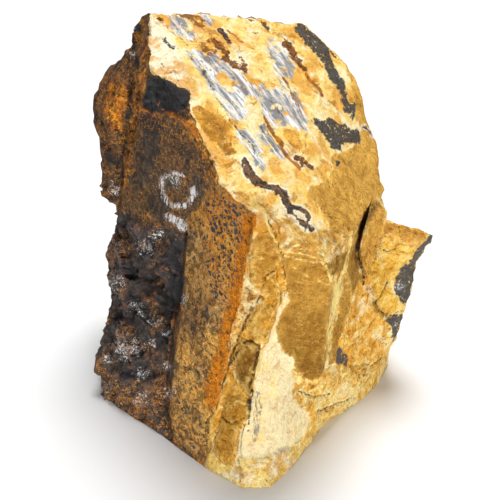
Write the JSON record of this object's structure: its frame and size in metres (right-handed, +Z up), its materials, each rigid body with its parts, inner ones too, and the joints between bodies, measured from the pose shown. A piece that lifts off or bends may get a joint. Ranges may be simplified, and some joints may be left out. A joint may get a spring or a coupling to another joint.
{
  "type": "rough ilvaite specimen",
  "caption": "Rough broken block of ilvaite in ochre and cream matrix, with a dark rusty face, a sloping pale top, a deep cleft and a small horn, standing on a flat base.",
  "frame": {"origin": "Middle of the bounding box in plan, on the plane that the specimen rests on.", "axes": "+Z up, the longest extent. -Y is the front that the picture shows, +X is to the right in it."},
  "size_m": [0.089, 0.0846, 0.0933],
  "materials": {
    "rock": "rough broken stone"
  },
  "bodies": {
    "root": {"ilvaite_rock": "rock"}
  },
  "joints": []
}
